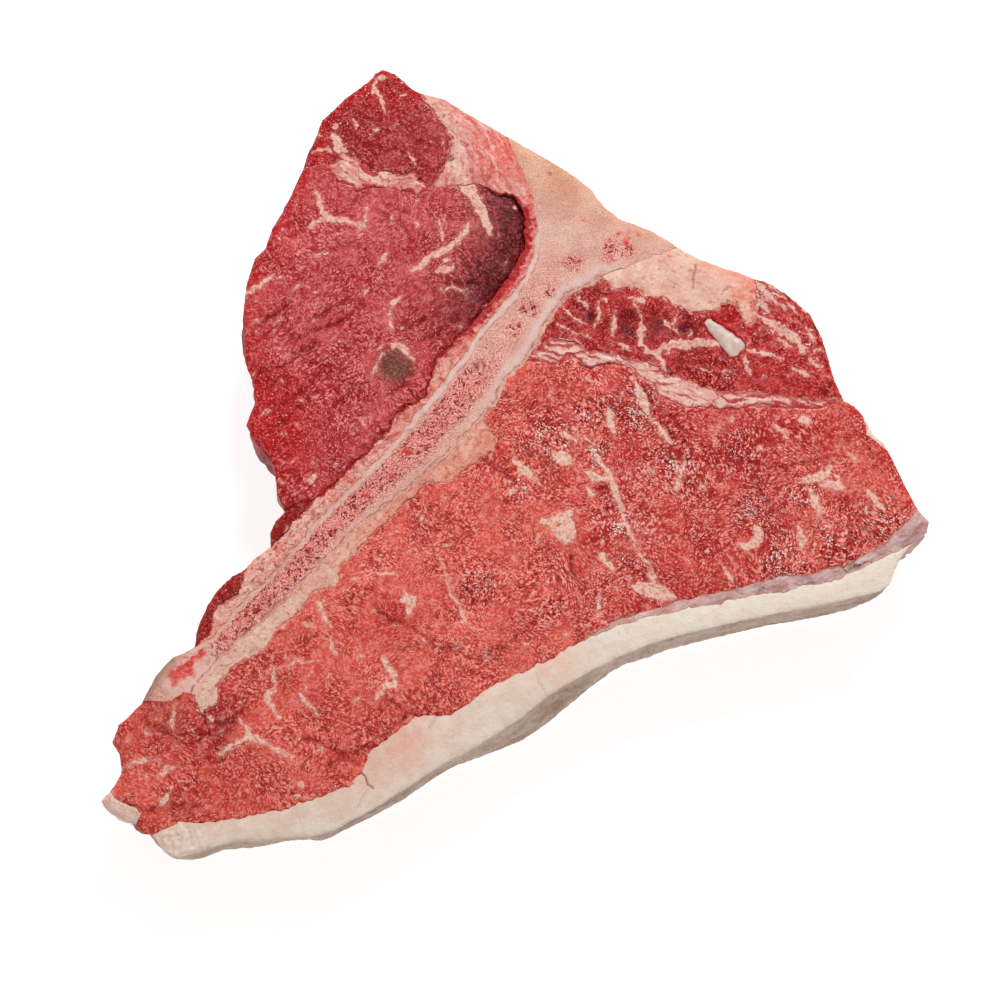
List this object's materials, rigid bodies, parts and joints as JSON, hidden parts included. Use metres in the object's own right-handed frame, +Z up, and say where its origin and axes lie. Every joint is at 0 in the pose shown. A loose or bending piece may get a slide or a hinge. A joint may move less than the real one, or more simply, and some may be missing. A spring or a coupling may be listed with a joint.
{
  "type": "florentine t-bone steak",
  "caption": "Thick raw T-bone steak lying on a cut face: a T-shaped bone between fillet and strip loin, with a fat cap along the loin's outer edge.",
  "frame": {"origin": "on the plane that the steak lies on, under the middle of its outline", "axes": "+Z up out of the upper cut face, +X along the strip loin away from its tail, +Y towards the fillet's tip"},
  "size_m": [0.2332, 0.233, 0.0351],
  "materials": {
    "bone": "sawn bone, porous, damp",
    "fillet_meat": "raw dark rose meat, moist, fine grained",
    "chain_meat": "raw dark red meat, moist",
    "side_meat": "raw dark red scraps of meat, moist",
    "loin_meat": "raw red meat, moist, marbled",
    "chine_meat": "raw red meat, moist, marbled",
    "suet": "pink hard fat",
    "salmon_fat": "pink crumbly fat",
    "cream_fat": "cream coloured fat",
    "rim_fat": "cream coloured fat, slightly browned",
    "silver_skin": "grey membrane, damp",
    "cap_fat": "ivory fat, waxy",
    "ligament": "white ligament, damp"
  },
  "bodies": {
    "root": {"bone": "bone", "fillet": "fillet_meat", "chain_muscle": "chain_meat", "fillet_seam_fat": "salmon_fat", "suet": "suet", "bone_band_fat": "salmon_fat", "upper_side_meat": "side_meat", "lower_side_meat": "side_meat", "stem_fat": "cream_fat", "strip_loin": "loin_meat", "chine_muscle": "chine_meat", "chine_fat": "cream_fat", "seam_fat": "cream_fat", "edge_scrap_fat": "rim_fat", "silver_skin": "silver_skin", "fat_cap": "cap_fat", "tail_fat": "rim_fat", "ligament": "ligament"}
  },
  "joints": []
}
